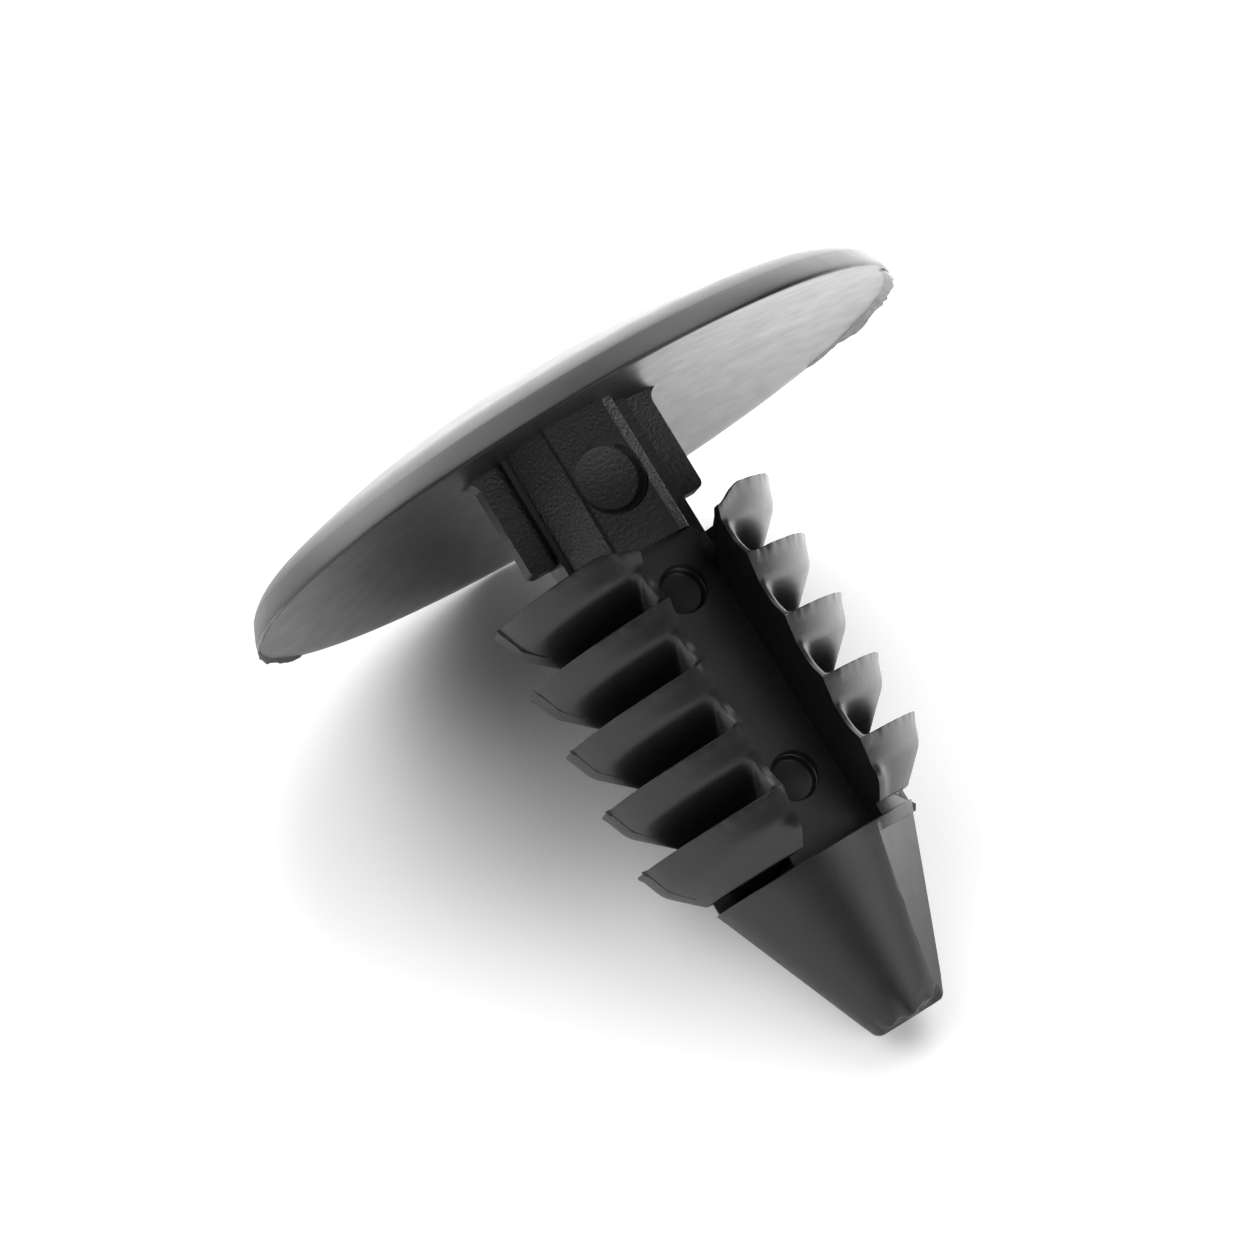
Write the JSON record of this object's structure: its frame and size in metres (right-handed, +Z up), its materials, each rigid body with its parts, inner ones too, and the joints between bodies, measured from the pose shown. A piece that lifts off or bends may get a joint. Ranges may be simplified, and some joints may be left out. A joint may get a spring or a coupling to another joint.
{
  "type": "fir tree clip",
  "caption": "Push-in fir tree trim clip: a shallow domed head on a slotted stem of angled fins that ends in a blunt conical nose.",
  "frame": {"origin": "centre of the clip's footprint on the surface that it lies on, which it meets at the head's rim and the nose's tip", "axes": "+Z up, away from that surface; +Y horizontally from the nose towards the head, with the clip's own axis in the Y-Z plane and rising 27.3 degrees towards the head; X along the width of the slots"},
  "size_m": [0.025, 0.0262, 0.0222],
  "materials": {
    "black_nylon": "satin moulded nylon with a fine spark-eroded grain and thin translucent flash"
  },
  "bodies": {
    "root": {"fir_tree_clip": "black_nylon"}
  },
  "joints": []
}
